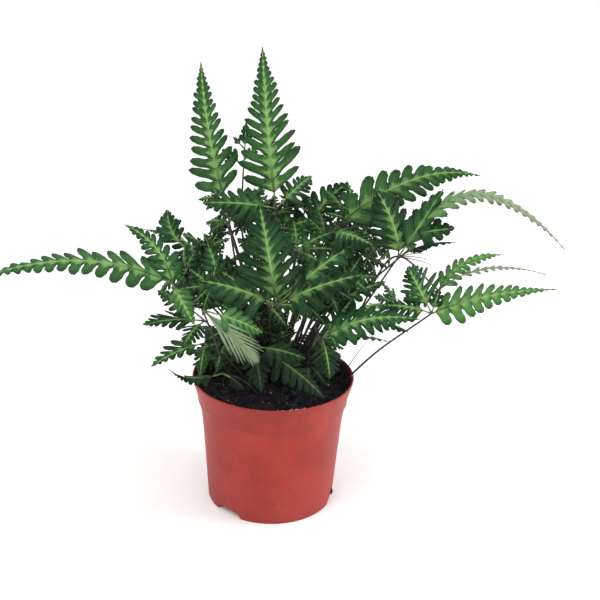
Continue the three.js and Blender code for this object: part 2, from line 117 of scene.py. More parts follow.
frond(
    "right_arch", (8, 2), [(52, 8, 133)], (86, -6, 196),
    pinna((112, -14, 248), 12, 4, 12, (0.1, -1, 0.3), via=(98, -10, 220), tooth=0.12, full=0.5, band=0.4,
          pale=-0.1, lean=(0.5, 0.5), cut=0.85),
    pinna((69, -2, 242), 25, 6, 6, (0.1, -1, 0.3), via=(82, -7, 217), band=1.2, pale=-0.1, cut=0.5, full=0.5,
          tooth=0.09),
    pinna((196, -30, 213), 9, 15, 14, (-0.2, -0.6, 0.8), via=(137, -18, 247), along=20, pale=1, fade=0.5,
          band=0.3, lean=(1.1, 1.1), full=0.4, tooth=0.1, cut=0.4, slim=0),
    pinna((130, 12, 202), 7, 5, 9, (0.2, 0.3, 1), bow=4, pale=-0.8, cut=0.9, band=0.2),
    pinna((124, -4, 218), 13, 3, 2, (0.1, -1, 0.3), along=24, pale=-0.4, cut=0.5, band=0.4, tooth=0.08),
)
frond(
    "right_outer", (19, 14), [(56, 22, 128), (86, 10, 191)], (121, 20, 162),
    pinna((168, 30, 188), 10, 9, 3, (-0.3, -0.7, 0.7), via=(138, 24, 182), band=1.3, pale=0.6,
          lean=(0.3, 0.3)),
    pinna((196, 8, 181), 3.5, 12, 22, via=(153, 12, 183), pale=1, fade=0.3, band=0.3, lean=(0.9, 0.9),
          full=0.3, tooth=0.2),
    pinna((93, 2, 160), 11, 5, 8, (0, -0.8, 0.6), tooth=0.1),
)
frond(
    "right_low", (49, -8), [(69, -20, 124)], (108, -36, 166),
    pinna((188, -50, 191.5), 16, 13, 3, (-0.2, -0.7, 0.7), via=(145, -44, 183), band=1.5, pale=0.5, cut=0.3,
          lean=(0.1, -0.2), sides=(1, 0.85)),
    pinna((90, -30, 197), 16, 6, 8, (-0.1, -0.9, 0.4), bow=3, sides=(1, 1.4)),
    pinna((74, -38, 172), 12, 6, 7, bow=3),
    pinna((112, -36, 184), 7, 3, 4, (0, -0.9, 0.4), band=0.6, cut=0.5),
    pale_foot=1,
)
frond(
    "front_right", (5, -3), [(26, -27, 132)], (33, -38, 146),
    pinna((96, -62, 172), 17, 10, 6, (-0.1, -0.7, 0.7), via=(62, -50, 166), band=1.3, pale=-0.1, full=0.47),
    pinna((54, -18, 168), 16, 6, 8, (-0.4, -0.5, 0.8)),
    pinna((38, -68, 130), 14, 6, 8, (0.1, -0.7, 0.7), bow=4, pale=-0.6, band=0.7),
    pinna((80, -36, 144), 4, 5, 12, (0, -0.4, 1), bow=4),
)
frond(
    "centre_front", (-3, 1), [(-2, -8, 136)], (1, -26, 165),
    pinna((-12, -48, 245), 27, 10, 8, (0.1, -1, 0.2), via=(-5, -41, 206), band=1.3, pale=-0.25, full=0.49,
          cut=0.35),
    pinna((58, -44, 196), 20, 6, 10, (-0.3, -0.6, 0.8), bow=4, pale=-0.2, full=0.47),
    pinna((-51, -42, 188), 20, 6, 10, (0.3, -0.6, 0.8), bow=4, pale=-0.2, full=0.47),
    pinna((60, 2, 206), 20, 6, 14, (-0.3, -0.6, 0.8), bow=4, pale=-0.1),
)
frond(
    "mid_left", (-10, 1), [(-22, -2, 126)], (-32, -8, 150),
    pinna((-50, 14, 196), 20, 7, 8, (0.1, -0.8, 0.6), bow=4),
    pinna((-16, -36, 158), 18, 6, 8, STEEP),
    pinna((-70, 16, 176), 14, 6, 8, STEEP, bow=3),
)
frond(
    "mid_right", (12, 6), [(24, 4, 126)], (34, -4, 152),
    pinna((60, 22, 186), 20, 7, 8, (-0.2, -0.7, 0.7), bow=4),
    pinna((20, 0, 196), 18, 6, 8, (0.1, -0.9, 0.4)),
    pinna((78, -8, 178), 13, 6, 8, (-0.1, -0.6, 0.8), bow=5),
    pinna((44, -26, 134), 11, 5, 10, (0, -0.8, 0.6), bow=2),
)
frond(
    "left_long", (-9, 6), [(-38, -6, 138)], (-72, -18, 176),
    pinna((-207, -30, 179), 14, 15, 7, via=(-135, -25, 193.5), band=1.3, pale=0.15, lean=(0, 0.4),
          sides=(1.15, 1.4), slim=0, cut=0.2),
    pinna((-106, -5, 214), 15, 9, 2, (0.2, -0.8, 0.6), via=(-84, -10, 199), band=1.3, full=0.47,
          sides=(0.9, 1)),
    pinna((-54, -52, 160), 11, 6, 7, (-0.2, -0.6, 0.8), bow=4, band=1.8, pale=0.3),
)
frond(
    "left_small", (-8, 18), [(-34, 26, 158)], (-55, 32, 180),
    pinna((-82, 46, 210), 14, 5, 20, (0.2, -0.8, 0.6), via=(-75, 40, 190), cut=0.6, slim=0),
    pinna((-66, 0, 206), 15, 6, 9, (0.2, -0.6, 0.8), bow=5, band=1.1),
    pinna((-46, 20, 200), 10, 6, 6, bow=3),
)
frond(
    "left_low", (-22, 0), [(-32, -2, 122)], (-50, -12, 146),
    pinna((-92, -22, 146), 12, 5, 8, bow=4, lean=(0.8, 0.8), sides=(0.6, 1.3), tooth=0.1, band=0.5,
          pale=-0.3),
    pinna((-86, 10, 160), 13, 6, 12, TILTED, bow=4),
    pinna((-62, -46, 142), 12, 6, 9, TILTED, bow=3),
)
frond(
    "front_left_low", (-17, -9), [(-31, -17, 116)], (-48, -28, 136),
    pinna((-84, -46, 125), 11, 5, 8, bow=5, full=0.46, lean=(0.5, 0.5), sides=(0.5, 1.2), band=0.9),
    pinna((-50, -60, 124), 8, 6, 9, TILTED, bow=4, pale=-0.5, band=0.5),
)
frond(
    "front_droop", (-11, -19), [(-24, -27, 108)], (-36, -35, 116),
    pinna((-70, -62, 131), 7, 8, 6, FLAT, via=(-57, -50, 119), band=0.3, pale=-0.4, cut=0.6, lean=(0.6, 0.6)),
    pinna((-20, -44, 108), 7, 5, 7, FLAT, bow=2, pale=-0.9, band=0.2),
)
frond(
    "turned", (-28, -16), [(-40, -42, 142)], (-48, -58, 173),
    pinna((-10, -78, 146), 12, 8, 4, (0.4, 0.8, -0.5), bow=4, pale=0.9, lean=(2.4, 2.4), full=0.32, tooth=0.1,
          cut=0.2),
    pinna((-8, -58, 158), 12, 6, 12, STEEP, bow=4, pale=0.3, band=0.7),
)
# Its pinnae are near black: painted shade on leaves that lie in shadow over the compost.
frond(
    "over_soil", (-3, -18), [(-8, -20, 118)], (-14, -24, 132),
    pinna((36, -46, 104), 17, 8, 8, (0.3, -0.6, 0.8), bow=6, band=0.8, pale=-0.8, tooth=0.08),
    pinna((22, -46, 134), 13, 5, 10, bow=3, pale=-0.5, band=0.5),
    pinna((-8, -58, 114), 12, 5, 9, TILTED, bow=4, pale=-0.9, band=0.5),
)
frond(
    "back_left", (-14, 24), [(-30, 46, 130)], (-44, 64, 154),
    pinna((-108, 104, 176), 18, 12, 9, UP, bow=10),
    pinna((-102, 48, 166), 14, 6, 14, UP, bow=8),
    pinna((-52, 112, 146), 12, 6, 12, UP, bow=8),
)
frond(
    "back_centre", (2, 27), [(4, 54, 132)], (6, 76, 158),
    pinna((10, 150, 178), 18, 12, 12, UP, bow=10),
    pinna((-42, 118, 194), 14, 6, 12, (0, 0.3, 1), bow=6),
    pinna((60, 108, 188), 14, 6, 12, (0, 0.3, 1), bow=6),
)
frond(
    "back_right", (16, 24), [(40, 46, 110)], (58, 58, 116),
    pinna((98, 106, 112), 15, 12, 11, UP, bow=10),
    pinna((106, 52, 114), 13, 6, 12, UP, bow=6),
    pinna((52, 112, 128), 13, 6, 12, UP, bow=8),
)

# Small inner fronds that fill the plant: the fork's place, the way the end pinna points as seen from the
# front, in degrees from right by way of up, and that pinna's length.
INNER = [
    # the crown, from left to right
    (-65, 10, 175, 150, 32), (-52, 15, 178, 125, 26), (-44, 25, 184, 150, 20), (-35, 20, 210, 120, 34),
    (-20, 35, 214, 95, 26), (5, 25, 205, 80, 36), (20, 40, 215, 60, 34), (35, 20, 200, 40, 36),
    (52, 25, 212, 70, 34), (60, 20, 195, 50, 32), (64, 10, 180, 120, 18), (45, 10, 190, 30, 36),
    # the middle
    (-54, -5, 164, 185, 22), (-45, -5, 170, 170, 32), (-30, 5, 168, 115, 24), (-20, -10, 170, 130, 32),
    (-5, -25, 165, 60, 32), (15, 5, 195, 65, 34), (20, -5, 170, 45, 34), (34, -15, 176, 5, 28),
    (50, -10, 182, 15, 24),
    # over the compost
    (-35, 0, 125, 205, 26), (-25, 5, 130, 230, 28), (-20, -20, 150, 200, 30), (0, 0, 122, 300, 24),
    (20, -15, 164, 0, 24), (30, 10, 124, 325, 24),
    # behind
    (-65, 50, 150, 160, 30), (-40, 60, 158, 135, 30), (-10, 60, 175, 95, 34), (25, 60, 165, 55, 34),
    (60, 55, 155, 30, 30),
    # under the right-hand fork
    (84, -20, 166, 175, 20), (80, 5, 197, 175, 18), (94, -4, 202, 50, 12),
    # more of the crown, the last one over the right-hand fork
    (-46, 25, 194, 75, 20), (-22, 10, 196, 50, 20), (58, 22, 216, 95, 18), (64, 0, 192, 0, 18),
    (-23, 18, 226, 60, 16), (-15, 14, 224, 110, 16), (-2, 30, 214, 90, 20), (-48, 18, 192, 70, 18),
    (-42, 10, 231, 170, 16), (-26, 25, 203, 100, 18), (82, 4, 212, 70, 20),
]
# Ribs of pinnae that have lost their green, and a bare stipe by the rim: where each starts and ends.
ARCH_FORK = FRONDS["right_arch"]["fork"]
BARE_RIBS = [
    (ARCH_FORK, (103, -11, 201)), (ARCH_FORK, (106, -11, 197)), (ARCH_FORK, (109, -12, 193)),
    ((50, 12, 90), (72, 20, 122)),
]
# Dark fronds over the compost, their near black painted shade, given the same way: ten that lie low, then
# some before the stipes.
SHADED_FRONDS = [
    (-40, 30, 110, 140, 26), (-30, 10, 106, 190, 30), (-20, 25, 108, 150, 34), (-15, 5, 105, 230, 28),
    (-5, 30, 110, 110, 28), (0, 10, 106, 280, 28), (12, 30, 106, 70, 22), (25, 10, 104, 350, 30),
    (30, 20, 108, 25, 32), (34, 30, 106, 60, 20), (-9, 10, 134, 80, 26), (-18, 10, 126, 110, 26),
    (-2, 12, 124, 100, 24), (-8, 0, 126, 60, 24), (-22, 10, 138, 120, 22), (-10, -8, 138, 85, 24),
    (-1, -8, 130, 75, 22), (6, -8, 136, 95, 16), (-12, -16, 150, 100, 20),
]


# ---- Meshes ----
def unit(v):
    """Each vector divided by its own length."""
    return v / np.linalg.norm(v, axis=-1, keepdims=True)


def smooth(x):
    """0 below 0, 1 above 1, and 3x² - 2x³ between them."""
    x = np.clip(x, 0, 1)
    return x * x * (3 - 2 * x)


def loft(loops, finish=0, **marks):
    """A closed skin over a row of closed outlines.

    Point j of outline i is joined to point j + 1 and to the same points of outline i + 1, and each end is
    closed by a fan to the middle of its outline. finish is a material's number, or one for each place round
    the outline. The marks are values for each point, carried along with it.
    """
    rows, around = loops.shape[:2]
    index = np.arange(rows * around).reshape(rows, around)
    beside = np.roll(index, -1, axis=1)
    quads = np.stack([index[:-1], beside[:-1], beside[1:], index[1:]], axis=-1).reshape(-1, 4)
    ends = rows * around + np.arange(2)
    fan = lambda mine, other, end: np.stack([other, mine, np.full(around, end)], axis=-1)
    fans = np.vstack([fan(index[0], beside[0], ends[0]), fan(beside[-1], index[-1], ends[1])])
    points = np.vstack([loops.reshape(-1, 3), loops[0].mean(0), loops[-1].mean(0)])
    a, b, c, d = (points[quads[:, i]] for i in range(4))
    inside_out = (np.cross(a, b) * c + np.cross(a, c) * d).sum() < 0
    if inside_out:
        quads, fans = quads[:, ::-1], fans[:, ::-1]
    finish = np.broadcast_to(finish, around)
    carried = {
        name: np.vstack([value.reshape(-1, 3), value[0].mean(0), value[-1].mean(0)])
        for name, value in marks.items()
    }
    finish = np.concatenate([np.tile(finish, rows - 1), finish, finish])
    return dict(points=points, quads=quads, fans=fans, marks=carried, finish=finish)


def put(name, data):
    made = bpy.data.objects.new(name, data)
    bpy.context.scene.collection.objects.link(made)
    return made


def piece(name, parts, materials, stands_for=(), sharp=50):
    """One object from closed skins laid side by side in one mesh, riding on the plant's only body."""
    faces, marks, points, finish, start = [], {}, [], [], 0
    for part in parts:
        faces += (part["quads"] + start).tolist() + (part["fans"] + start).tolist()
        points.append(part["points"])
        finish.append(part["finish"])
        for key, value in part["marks"].items():
            marks.setdefault(key, []).append(value)
        start += len(part["points"])
    mesh = bpy.data.meshes.new(name)
    mesh.from_pydata(np.vstack(points).tolist(), [], faces)
    mesh.polygons.foreach_set("material_index", np.concatenate(finish).astype(np.int32))
    for key, value in marks.items():
        layer = mesh.attributes.new(key, "FLOAT_VECTOR", "POINT")
        layer.data.foreach_set("vector", np.vstack(value).astype(np.float32).ravel())
    for material in materials:
        mesh.materials.append(material)
    mesh.shade_smooth()
    mesh.set_sharp_from_angle(angle=math.radians(sharp))
    mesh.update()
    made = put(name, mesh)
    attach(made, "root")
    if stands_for:
        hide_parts(*stands_for)


# ---- Shapes of the fronds ----
END = 0.45  # share of a lobe's length where its rounded point begins
# The sections through a lobe, as shares of it, and the fewer ones of a small inner pinna.
FINE = np.array([0, 0.35, 0.75, 1.05, 1.3, 1.5, 1.68, 1.85, 2, 2.15, 2.32, 2.5, 2.7, 2.95, 3.25, 3.65]) / 4
PLAIN = np.array([0, 0.5, 1, 1.4, 1.75, 2, 2.25, 2.6, 3, 3.5]) / 4
ACROSS = np.array([0.28, 0.58, 0.84, 1.0])  # places from the costa's edge to the margin
LAMINA = 0.42 * MM  # thickness beside the costa
# Half the costa's width at the base of a pinna with COSTA_FOR as its half width, the share of it that is lost
# towards the tip, and the least left.
COSTA, COSTA_FOR, COSTA_LOSS, COSTA_LEAST = 0.8 * MM, 20 * MM, 0.75, 0.08 * MM
# Places across the costa as shares of half its width, and how far it stands out there above and below.
COSTA_PLACES, COSTA_ABOVE, COSTA_BELOW = [0, 0.5, 1], [0.15, 0.6, 0.05], [1.25, 0.95, 0.1]
LEAN, LEAN_MORE, CURL = 0.22, 0.75, 0.08  # a lobe's slant, what the tip adds to it, and how it bends on
DROOP = math.radians(14)  # how far each side hangs below its rib
SHORTEST_LOBE, TIP_LOBE = 0.5 * MM, 0.3 * MM
# How much chance changes a lobe's reach, slant, droop, twist and tone, and a blade's tone.
CHANCE = dict(reach=0.05, lean=0.06, droop=0.09, twist=0.35, tone=0.6, blade=0.8)


def rib_of(base, spec):
    """Three control points of a rib, a parabola from its base to its tip.

    The middle one puts its middle at the via point, or lifts it by the bow towards its face.
    """
    base, tip, face = np.array(base, float), np.array(spec["to"], float) * MM, np.array(spec["face"], float)
    middle = (base + tip) / 2
    if spec["via"]:
        return np.array([base, 2 * np.array(spec["via"]) * MM - middle, tip])
    chord = unit(tip - base)
    return np.array([base, middle + unit(face - chord * (face @ chord)) * 2 * spec["bow"] * MM, tip])


def on_rib(rib, s):
    """Place and direction at share s: (1-s)² base + 2s(1-s) control + s² tip, and straight on beyond."""
    t = np.minimum(s, 1)[..., None]
    slope = 2 * (1 - t) * (rib[1] - rib[0]) + 2 * t * (rib[2] - rib[1])
    curve = (1 - t) ** 2 * rib[0] + 2 * t * (1 - t) * rib[1] + t * t * rib[2]
    return curve + slope * (s[..., None] - t), unit(slope)


def rib_frame(rib, face, s):
    """Place, forward, up and side at share s: up is the face's direction made square to forward."""
    at, forward = on_rib(rib, s)
    face = np.array(face, float)
    up = unit(face - forward * (forward @ face)[..., None])
    return at, forward, up, np.cross(forward, up)


def rib_length(rib):
    at, _ = on_rib(rib, np.linspace(0, 1, 60))
    return np.linalg.norm(np.diff(at, axis=0), axis=1).sum()


class Blade:
    """The lobed blade of one pinna, as sections across it from its first lobe to its tip.

    Lobe k spans the rib from station(k) to station(k + 1), and p runs from 0 to 1 through it. q goes from 0
    in the notch to 1 where the lobe's round end begins and 2 at its tip. A is the share out to a lobe's tip,
    and C the place across the lobe, from -0.5 to 0.5.
    """

    def __init__(self, rib, spec, seed):
        self.rib, self.spec, self.rng = rib, spec, np.random.default_rng(seed)
        self.lobes, self.width, self.length = spec["lobes"], spec["width"] * MM, rib_length(rib)
        self.start = spec["stalk"] * MM / self.length
        # slender is 0 for a short pinna with a broad end and 1 for a long one with a fine tip, and each lobe
        # takes shrink of the rib that the one before it takes.
        self.slender = smooth((self.lobes - 6) / 9)
        self.shrink = (0.55 - 0.2 * self.slender) ** (1 / self.lobes)
        sections = FINE if spec["fine"] else PLAIN
        x = np.append((np.arange(self.lobes + 1)[:, None] + sections).ravel(), self.lobes + 1)
        self.k = np.minimum(x.astype(int), self.lobes)
        self.p = x - self.k
        self.q = np.minimum(self.p, 1 - self.p) * 4
        self.in_notch = np.isclose(self.p, 0)
        self.s = self.station(x)
        middle = self.station(np.arange(self.lobes + 1) + 0.5)
        self.middle, self.reach = self.by_lobe(middle), self.by_lobe(self.half_width(middle))
        self.pitch = (self.station(self.k + 1) - self.station(self.k)) * self.length
        self.costa = COSTA * math.sqrt(self.width / COSTA_FOR) * (1 - COSTA_LOSS * self.s) + COSTA_LEAST
        self.tone = CHANCE["blade"] * self.rng.standard_normal()
        self.pale = spec["pale"] - spec["fade"] * (1 - self.s) ** 2

    def station(self, k):
        """Share of the rib where lobe k begins: the sum of a geometric row."""
        return self.start + (1 - self.start) * (1 - self.shrink**k) / (1 - self.shrink ** (self.lobes + 1))

    def half_width(self, s):
        """It grows from the base and narrows to the tip, in a wedge or, if slender, in an S curve."""
        left = np.clip((1 - s) / (1 - self.start), 0, 1)
        wedge, curve = left ** (0.85 + 0.15 * self.slender), 0.4 * left + 0.6 * smooth(left / 0.9)
        narrowed = wedge + (curve - wedge) * self.slender * self.spec["slim"]
        return self.width * np.minimum(1, 0.72 + 2.8 * (s - self.start)) * narrowed

    def by_lobe(self, values):
        """A value for each section: its lobe's, and in a notch the mean of both neighbours'."""
        before = values[np.maximum(self.k - 1, 0)]
        return np.where(self.in_notch, (values[self.k] + before) / 2, values[self.k])

    def vary(self, what):
        """A random value for each lobe, given for each section."""
        return self.by_lobe(CHANCE[what] * self.rng.standard_normal(self.lobes + 1))

    def margin(self):
        """The margin of an untoothed lobe: its share out, and half its breadth as a share of the pitch.

        Up to q = 1 it runs straight out to END, with a narrower neck; then it is a quarter of an ellipse.
        """
        q = self.q
        round_end = np.clip(q - 1, 0, 1) * np.pi / 2
        share_out = np.where(q < 1, END * q, END + (1 - END) * np.sin(round_end))
        full = self.spec["full"] + 0.05 * self.middle
        neck = 0.5 + (full - 0.5) * smooth(q * 1.5) - 0.08 * np.sin(np.pi * np.clip(q, 0, 1)) * (1 - q)
        return share_out, np.where(q < 1, neck, full * np.cos(round_end))

    def half(self, way):
        """The left side of the blade for way -1, and the right side for way 1.

        Each lobe leans towards the tip by lean A + CURL A² of its reach, and its end is turned square to
        that slant by taking lean C pitch off its reach. A section runs from the costa, which has a groove
        between two low ridges above and one round ridge below, to the margin. The lamina sinks by
        0.10 A² + 0.16 A (2C)² of the reach and twists in proportion to C A.
        """
        spec, costa, p, q = self.spec, self.costa, self.p, self.q
        left_or_right = int(way > 0)
        share_out, breadth = self.margin()
        reach = self.reach * spec["sides"][left_or_right] * (1 + self.vary("reach"))
        reach = np.maximum(reach, SHORTEST_LOBE)
        reach[0] = costa[0]
        reach[-1] = TIP_LOBE
        lean = LEAN + LEAN_MORE * self.middle + spec["lean"][left_or_right] + self.vary("lean")
        droop = DROOP + self.vary("droop")
        twist = self.vary("twist")
        tone = self.tone + self.vary("tone")

        in_and_out = np.where(np.arange(len(p)) % 2 == 0, -0.5, 0.5)
        teeth = 1 + spec["tooth"] * in_and_out * (q > 0.6) * (q < 1.8)
        C_out = np.where(self.in_notch, p - 0.5, np.sign(p - 0.5) * breadth * teeth)
        square = lean / (1 + lean**2) * C_out * self.pitch / np.maximum(reach, 1 * MM)
        joined = spec["cut"] + (0.8 - spec["cut"]) * smooth((self.middle - 0.45) / 0.5)
        A_out = (joined + (1 - joined) * share_out) * teeth - square * share_out
        out = np.maximum(A_out * reach, costa * 1.05)
        lamina = costa[:, None] + (out - costa)[:, None] * ACROSS
        from_rib = np.hstack([np.outer(costa, COSTA_PLACES), lamina])
        across = np.append([0, 0, 0], ACROSS)[None]

        reach, lean = reach[:, None], lean[:, None]
        A = from_rib / reach
        C = (p - 0.5)[:, None] * (1 - across) + C_out[:, None] * across
        s = self.station(self.k[:, None] + 0.5 + C) + reach * (lean * A + CURL * A * A) / self.length
        s[:, :3] = self.s[:, None]
        at, _, up, side = rib_frame(self.rib, spec["face"], s)
        fall = np.sin(np.pi * p)[:, None]
        lift = -reach * (0.10 * A * A + 0.16 * A * (2 * C) ** 2)
        lift = lift + twist[:, None] * C * fall * A * (reach * 0.5)
        lift[:, :3] = 0
        cos, sin = np.cos(droop)[:, None], np.sin(droop)[:, None]
        skin = at + side * (way * from_rib * cos)[..., None] + up * (lift - from_rib * sin)[..., None]
        normal = up * cos[..., None] + side * (way * sin)[..., None]
        above = LAMINA / 2 * (1 - across**3) * np.minimum(1, reach / (4 * MM))
        below = above.copy()
        above[:, :3] += np.outer(costa, COSTA_ABOVE)
        below[:, :3] += np.outer(costa, COSTA_BELOW)
        habit = [np.full(A.shape, spec["band"]), self.pale[:, None] + 0 * A, tone[:, None] + 0 * A]
        return dict(
            top=skin + normal * above[..., None], under=skin - normal * below[..., None],
            lamina=np.stack([A, C, s], -1), habit=np.stack(habit, -1),
        )

    def skin(self):
        """Both sides, joined round each section: from left to right above, and back along the underside."""
        left, right = self.half(-1), self.half(1)

        def round_it(over, under):
            rows = [left[over][:, ::-1], right[over][:, 1:], right[under][:, -2::-1], left[under][:, 1:-1]]
            return np.concatenate(rows, axis=1)

        loops = round_it("top", "under")
        columns_above = 2 * (len(COSTA_PLACES) - 1 + len(ACROSS))
        finish = (np.arange(loops.shape[1]) >= columns_above).astype(int)
        return loft(loops, finish, lamina=round_it("lamina", "lamina"), habit=round_it("habit", "habit"))


def tube(line, radius, sides, finish=0, **marks):
    """A round skin along a line of points: rings square to the line, all turned the same way round it."""
    forward = unit(np.gradient(line, axis=0))
    first = np.cross(forward[0], [0.3, 0.9, 0.2])
    side = unit(first - forward * (forward @ first)[:, None])
    up = np.cross(forward, side)
    turn = np.arange(sides) * 2 * np.pi / sides
    ring = side[:, None] * np.cos(turn)[:, None] + up[:, None] * np.sin(turn)[:, None]
    carried = {name: np.repeat(value[:, None], sides, axis=1) for name, value in marks.items()}
    return loft(line[:, None] + ring * np.asarray(radius)[:, None, None], finish, **carried)


def stipe_line(points, steps):
    """A centripetal Catmull-Rom line: cubics through the points, paced by the root of their distances."""
    points = np.array(points, float) * MM
    p = np.vstack([2 * points[0] - points[1], points, 2 * points[-1] - points[-2]])
    gap = np.sqrt(np.linalg.norm(np.diff(p, axis=0), axis=1))[:, None]
    slope = (
        (p[1:-1] - p[:-2]) / gap[:-1] - (p[2:] - p[:-2]) / (gap[:-1] + gap[1:]) + (p[2:] - p[1:-1]) / gap[1:]
    )
    line = []
    for i in range(len(points) - 1):
        t = np.linspace(0, 1, steps, endpoint=i == len(points) - 2)[:, None]
        leave, reach = slope[i] * gap[i + 1], slope[i + 1] * gap[i + 1]
        line.append(
            (2 * t**3 - 3 * t**2 + 1) * points[i] + (t**3 - 2 * t**2 + t) * leave
            + (3 * t**2 - 2 * t**3) * points[i + 1] + (t**3 - t**2) * reach
        )
    return np.vstack(line)


# The pinnae of a small frond: degrees off the way that its end pinna points, and share of that one's length.
FAN = ((0, 1.0), (50, 0.85), (-50, 0.85), (95, 0.65), (-95, 0.65))


def inner_frond(name, fork, angle, reach, seed, old):
    """Note down an end pinna and four shorter ones beside it, in a plane that faces up and outwards.

    The root stands a fifth of the way from the crown, which is a little behind the pot's middle, to under the
    fork. The stipe passes a point 0.55 of its height up, drawn in to 0.8 of its distance from the axis.
    """
    rng = np.random.default_rng(seed)
    root = (0.2 * fork[0], 0.2 * fork[1] + 6)
    out = np.array(fork[:2]) / 100
    face = unit(np.array([out[0], out[1] - 0.6, 0.75]) + rng.normal(0, 0.15, 3))
    turn = math.radians(angle)
    ahead = np.array([math.cos(turn), out[1], math.sin(turn)])
    ahead = unit(ahead - face * (ahead @ face))
    beside = np.cross(ahead, face)
    pinnae = []
    for off, share in FAN:
        way = math.radians(off + rng.normal(0, 7))
        long = reach * share * rng.uniform(0.85, 1.1)
        to = np.array(fork) + long * (ahead * math.cos(way) + beside * math.sin(way))
        # Fronds from the shaded table get a paleness near -1: near black, painted shade.
        pinnae.append(pinna(
            tuple(to), 0.36 * long, 5 if share > 0.8 else 4, 0.12 * long, bow=0.09 * long, face=tuple(face),
            band=rng.uniform(0.2, 0.8), pale=rng.uniform(-1, -0.7) if old else rng.uniform(-0.45, 0.1),
            fine=False,
        ))
    middle = (np.array([*root, SOIL_LEVEL]) * 0.45 + np.array(fork) * 0.55) * (0.8, 0.8, 1)
    frond(name, root, [tuple(middle)], fork, *pinnae)


def petiole(rib, spec):
    """The green stalk under a pinna, a tapering tube along the rib from its base to past the first lobes."""
    start = spec["stalk"] * MM / rib_length(rib)
    s = np.linspace(0, start + 0.06, 12)
    at, _, up, _ = rib_frame(rib, spec["face"], s)
    share = s / s[-1]
    lamina = np.stack([0 * s, 0 * s, s], -1)
    habit = np.stack([0 * s + 1, 0 * s + spec["pale"], 1 - share], -1)
    return tube(at - up * 0.25 * MM, 0.68 * MM * (1 - 0.35 * share), 8, PETIOLE, lamina=lamina, habit=habit)


def build_frond(name, plant, number, in_model):
    """A frond's pinnae with their short stalks as one piece, and its stipe, a tapering wire, as another."""
    root, fork = plant["root"], plant["fork"]
    first_rib, skins = None, []
    for i, spec in enumerate(plant["pinnae"]):
        base = np.array(fork) * MM
        if spec["along"]:
            base = on_rib(first_rib, np.array([spec["along"] * MM / rib_length(first_rib)]))[0][0]
        rib = rib_of(base, spec)
        if first_rib is None:
            first_rib = rib
        skins += [Blade(rib, spec, seed=100 * number + i).skin(), petiole(rib, spec)]
    finishes = (blade_top, blade_under, green_stalk)
    piece("blade_" + name, skins, finishes, ["leaf_" + name] if in_model else [])
    line = stipe_line([(*root, ROOTED_AT), (*root, SOIL_LEVEL), *plant["path"], fork], 16)
    share = np.linspace(0, 1, len(line))
    bleached = plant["pale_foot"] * smooth(2 - share * 12)
    wire = tube(line, (0.95 - 0.3 * share) * MM, 10, lamina=np.stack([share, bleached, 0 * share], -1))
    piece("stalk_" + name, [wire], (stipe_brown,), ["stipe_" + name] if in_model else [])


def build_fronds():
    in_model = list(FRONDS)
    for old, table in enumerate((INNER, SHADED_FRONDS)):
        for i, entry in enumerate(table):
            name = ("inner_", "old_")[old] + str(i + 1)
            inner_frond(name, entry[:3], *entry[3:], seed=(5, i, old), old=old)
    for number, (name, plant) in enumerate(FRONDS.items()):
        build_frond(name, plant, number, name in in_model)


def build_bare_ribs():
    """Thin dark wires that rise a little in the middle and taper, each from its start to its end."""
    skins = []
    for start, end in BARE_RIBS:
        t = np.linspace(0, 1, 8)[:, None]
        line = (np.array(start) * (1 - t) + np.array(end) * t + [0, 0, 1] * np.sin(np.pi * t)) * MM
        skins.append(tube(line, 0.42 * MM * (1 - 0.6 * t[:, 0]), 8, lamina=np.hstack([t, 0 * t, 0 * t])))
    piece("bare_ribs", skins, (stipe_brown,))


# ---- Pot and compost ----
TURN = np.arange(384) * 2 * np.pi / 384  # the places round the pot
# Rows of radius and height. The wall's outer face goes from the foot up: body, shoulder, band, flare and rim.
WALL_FACE = [
    (47.2, 0), (47.8, 0.25), (48.05, 0.9), (48.1, 2.5), (48.2, 4), (50.2, 35), (51.9, 58), (52.6, 66),
    (53.4, 72), (54.2, 76.5), (54.75, 79), (54.95, 79.7), (55.5, 80.1), (55.75, 80.7), (56.1, 84),
    (56.7, 87.2), (57.6, 90.5), (58.7, 94), (59.4, 97), (59.9, 98.6), (60, 99.2), (59.8, 99.8), (59.4, 100),
    (59, 99.8), (58.8, 99.2),
]
INNER_FACE = [(57.3, 94), (56.4, 90), (54.4, 80), (52.4, 72), (51.1, 67), (46.9, 6.2), (45.6, 5.2), (44.5, 5)]
UNDERSIDE = [(0.4, 0), (8, 0), (15.6, 0), (16, 0.1), (18, 3.5), (30, 3.5), (42, 3.5)]
FOOT = [(45.2, 3.5), (45.5, 1.8), (45.8, 0.2), (46.2, 0)]
POT_FLOOR = [(40, 5), (20, 5), (0.4, 5)]
# The notches in the foot: the turns of their middles, half their width, and their height on each face.
NOTCHES, FOOT_RADIUS = np.radians([-131, -11, 109]), 47.5
NOTCH_HALF_WIDTH, NOTCH_INSIDE, NOTCH_OUTSIDE = 11.5, 4.3, 5.6
COMPOST_SIDE = [
    (0.5, 5.4), (44.5, 5.4), (45.4, 6.4), (50.6, 67), (51.9, 72), (54.1, 80), (SOIL_REACH - 0.2, 88.5),
]


def round_the_pot(turn, far, height):
    """Points at these turns, distances from the axis and heights."""
    return np.stack([far * np.cos(turn), far * np.sin(turn), height + 0 * turn], -1) * MM


def ring(radius, height):
    return round_the_pot(TURN, radius, height)


def grains(x, y, size, seed):
    """Smooth random values from 0 to 1 on a plane: a lattice of draws, size apart, blended by 3t² - 2t³."""
    draws = np.random.default_rng(seed).random((64, 64))
    u, v = x / size, y / size
    i, j = np.floor(u).astype(int), np.floor(v).astype(int)
    a, b = smooth(u - i), smooth(v - j)
    pick = lambda di, dj: draws[(i + di) % 64, (j + dj) % 64]
    return (1 - b) * ((1 - a) * pick(0, 0) + a * pick(1, 0)) + b * ((1 - a) * pick(0, 1) + a * pick(1, 1))


